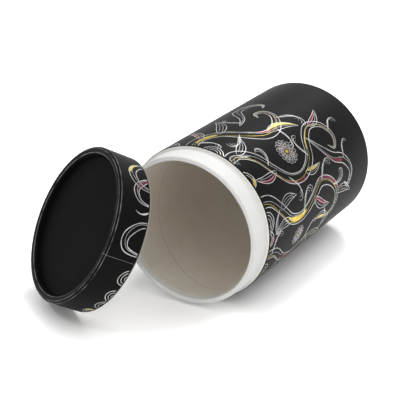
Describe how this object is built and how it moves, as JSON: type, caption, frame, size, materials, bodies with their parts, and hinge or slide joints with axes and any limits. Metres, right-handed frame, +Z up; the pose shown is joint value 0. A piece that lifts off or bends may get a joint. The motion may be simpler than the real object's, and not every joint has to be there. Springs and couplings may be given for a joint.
{
  "type": "cylindrical gift tube box",
  "caption": "Round paperboard gift tube lying on its side, with a white inner neck, rolled rims and a matching lift-off lid that leans on the neck.",
  "frame": {"origin": "centre of the tube's base, in the plane of its rolled rim", "axes": "+Y along the tube's axis, out of its base; +Z up from the surface that the tube lies on; the mouth faces -Y"},
  "size_m": [0.1223, 0.1812, 0.08],
  "materials": {
    "black_paper": "matte printed wrap with foil line work",
    "white_paper": "smooth uncoated",
    "liner_paper": "plain spiral-wound liner",
    "paperboard": "raw pale pressed board, seen at its cut ends"
  },
  "bodies": {
    "tube": {"outer_tube": "paperboard", "outer_wrap": "black_paper", "inner_tube": "paperboard", "neck_wrap": "white_paper", "inner_lining": "liner_paper", "base_board": "paperboard", "base_cover": "black_paper", "base_lining": "white_paper"},
    "lid": {"lid_tube": "paperboard", "lid_wrap": "black_paper", "lid_lining": "white_paper", "lid_board": "paperboard", "lid_cover": "black_paper", "lid_board_lining": "white_paper"}
  },
  "joints": [
    {"name": "lid_lift", "type": "slide", "parent": "tube", "child": "lid", "axis": [-0.4801, -0.728, 0.4894], "range_m": [0, 0.1]}
  ]
}
